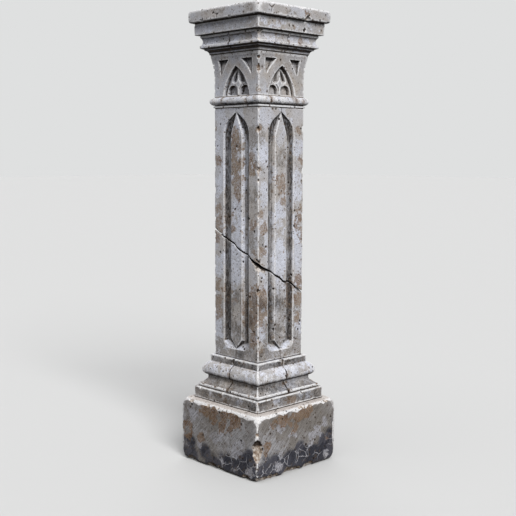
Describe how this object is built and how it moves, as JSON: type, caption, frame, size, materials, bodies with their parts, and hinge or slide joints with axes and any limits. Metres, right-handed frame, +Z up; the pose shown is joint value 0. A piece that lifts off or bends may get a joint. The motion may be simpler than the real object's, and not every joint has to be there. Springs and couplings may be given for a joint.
{
  "type": "gothic column",
  "caption": "Free-standing square gothic pedestal column of weathered stone, with sunk lancet panels, a moulded base, a traceried capital and a flat top to stand things on.",
  "frame": {"origin": "middle of the plinth's underside, on the floor", "axes": "+Z up along the column's axis, the front face looks along -Y, the right face along +X"},
  "size_m": [0.276, 0.276, 1.105],
  "materials": {
    "limestone": "honed limestone, weathered, pitted and stained",
    "plinth_stone": "rough limestone, damp-stained and chipped",
    "mortar": "raked lime mortar, dirty",
    "steel": "plain bar"
  },
  "bodies": {
    "root": {"plinth": "plinth_stone", "base_step": "limestone", "base_stone_front_left": "limestone", "base_stone_front_right": "limestone", "base_stone_back_right": "limestone", "base_stone_back_left": "limestone", "shaft_lower": "limestone", "shaft_upper": "limestone", "ring_stone_front": "limestone", "ring_stone_right": "limestone", "ring_stone_back": "limestone", "ring_stone_left": "limestone", "ring_corner_front_left": "limestone", "ring_corner_front_right": "limestone", "ring_corner_back_right": "limestone", "ring_corner_back_left": "limestone", "capital": "limestone", "cornice_stone_front_left": "limestone", "cornice_stone_front_right": "limestone", "cornice_stone_back_right": "limestone", "cornice_stone_back_left": "limestone", "corona": "limestone", "abacus": "limestone", "plinth_bed": "mortar", "base_bed": "mortar", "base_joints": "mortar", "shaft_bed": "mortar", "ring_bed": "mortar", "ring_collar": "mortar", "ring_joints": "mortar", "capital_bed": "mortar", "cornice_bed": "mortar", "cornice_joints": "mortar", "corona_bed": "mortar", "abacus_bed": "mortar", "plinth_dowel": "steel", "base_pins": "steel", "base_cramps": "steel", "shaft_pins": "steel", "break_pins": "steel", "capital_dowel": "steel", "cornice_pins": "steel", "cornice_cramps": "steel", "corona_pins": "steel", "abacus_dowel": "steel"}
  },
  "joints": []
}
